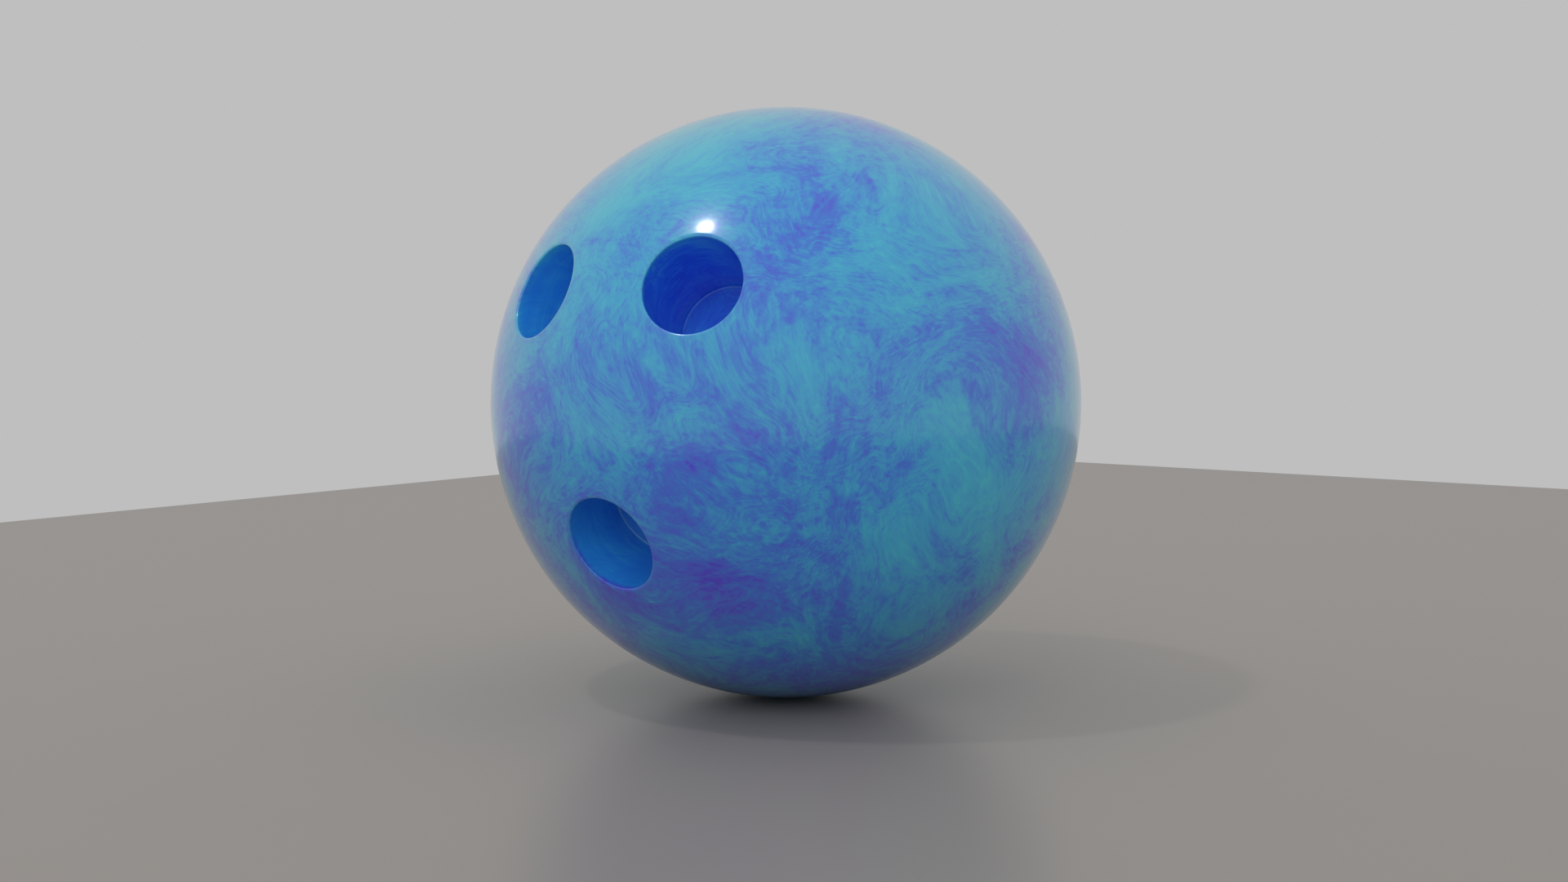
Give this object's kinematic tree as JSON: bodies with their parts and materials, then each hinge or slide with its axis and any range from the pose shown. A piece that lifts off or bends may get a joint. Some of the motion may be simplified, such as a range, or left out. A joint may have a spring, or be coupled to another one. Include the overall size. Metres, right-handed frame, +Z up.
{
  "type": "bowling ball",
  "caption": "Polished marbled bowling ball with two finger holes and a thumb hole, solid cast around a filler core, a weight block and its pin.",
  "frame": {"origin": "the ball's centre", "axes": "+Z up with the finger holes above the thumb hole, -Y out through the middle of the grip, +X to the right as the grip is looked at"},
  "size_m": [0.217, 0.217, 0.217],
  "materials": {
    "marbled_resin": "polished",
    "filler_resin": "matte",
    "dense_resin": "satin",
    "dowel_plastic": "satin",
    "plug_resin": "polished"
  },
  "bodies": {
    "root": {"coverstock": "marbled_resin", "outer_core": "filler_resin", "weight_block": "dense_resin", "core_pin": "dowel_plastic", "pin_plug": "plug_resin"}
  },
  "joints": []
}
